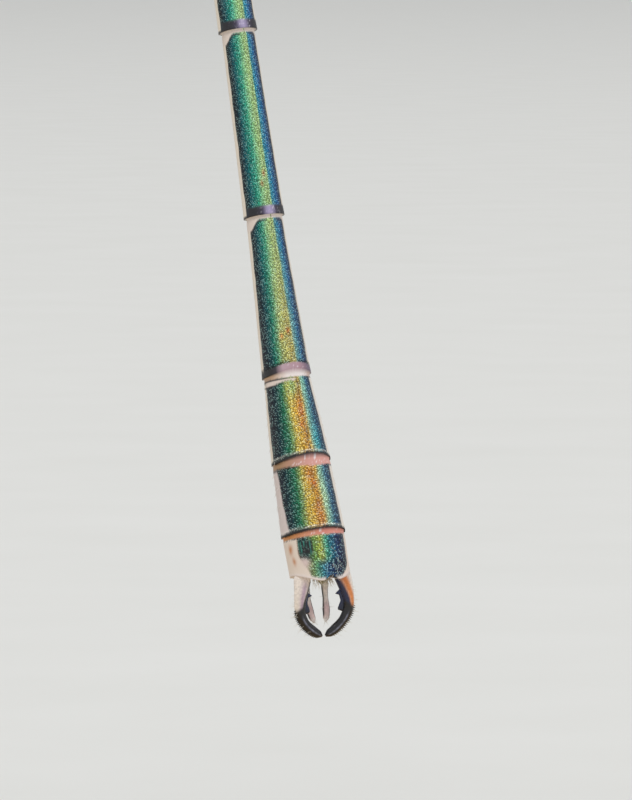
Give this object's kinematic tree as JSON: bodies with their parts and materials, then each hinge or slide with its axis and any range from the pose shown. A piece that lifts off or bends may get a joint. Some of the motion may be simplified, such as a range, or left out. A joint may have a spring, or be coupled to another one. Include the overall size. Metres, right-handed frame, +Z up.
{
  "type": "emerald damselfly model on a display stand",
  "caption": "Life-size emerald damselfly clinging to a short leaning rush stem, wings half open and tail hanging free, on a rod and a flat wooden base.",
  "frame": {"origin": "centre of the underside of the stand's base", "axes": "+Z up, towards the insect's head and the stem's top; -Y the way the insect's back faces; +X the insect's right side"},
  "size_m": [0.038, 0.027, 0.0504],
  "materials": {
    "abdomen": "metallic green, bronze and blue cuticle with cream sides and fine cross ripples",
    "body": "metallic green cuticle above, pale cream sides and underside",
    "mouthparts": "pale blue-grey and cream cuticle",
    "eye": "glossy faceted eye, dark brown-blue above and pale below",
    "antenna": "dark brown, fine",
    "wing": "clear thin membrane with dark brown veins and a brown stigma",
    "forceps": "cream and orange at the base, black and blue-black towards the tips",
    "tail_plate": "pale pinkish cream with fine white hairs",
    "leg": "cream with a dark stripe and dark bristles",
    "rush": "green rush stem with fine lengthwise ribs",
    "base_wood": "pale ash, oiled",
    "rod_steel": "brushed stainless steel"
  },
  "bodies": {
    "root": {"head": "body", "mouthparts": "mouthparts", "eye_left": "eye", "antenna_left": "antenna", "eye_right": "eye", "antenna_right": "antenna", "thorax": "body", "prothorax": "body", "forewing_left": "wing", "forewing_right": "wing", "hindwing_left": "wing", "hindwing_right": "wing", "abdomen_01": "abdomen", "abdomen_02": "abdomen", "abdomen_03": "abdomen", "abdomen_04": "abdomen", "abdomen_05": "abdomen", "abdomen_06": "abdomen", "abdomen_07": "abdomen", "abdomen_08": "abdomen", "abdomen_09": "abdomen", "abdomen_10": "abdomen", "cercus_left": "forceps", "paraproct_left": "tail_plate", "cercus_right": "forceps", "paraproct_right": "tail_plate", "fore_femur_left": "leg", "fore_tibia_left": "leg", "fore_tarsus_left": "leg", "fore_femur_right": "leg", "fore_tibia_right": "leg", "fore_tarsus_right": "leg", "mid_femur_left": "leg", "mid_tibia_left": "leg", "mid_tarsus_left": "leg", "mid_femur_right": "leg", "mid_tibia_right": "leg", "mid_tarsus_right": "leg", "hind_femur_left": "leg", "hind_tibia_left": "leg", "hind_tarsus_left": "leg", "hind_femur_right": "leg", "hind_tibia_right": "leg", "hind_tarsus_right": "leg", "perch_stem": "rush", "stand_base": "base_wood", "stand_rod": "rod_steel"}
  },
  "joints": []
}
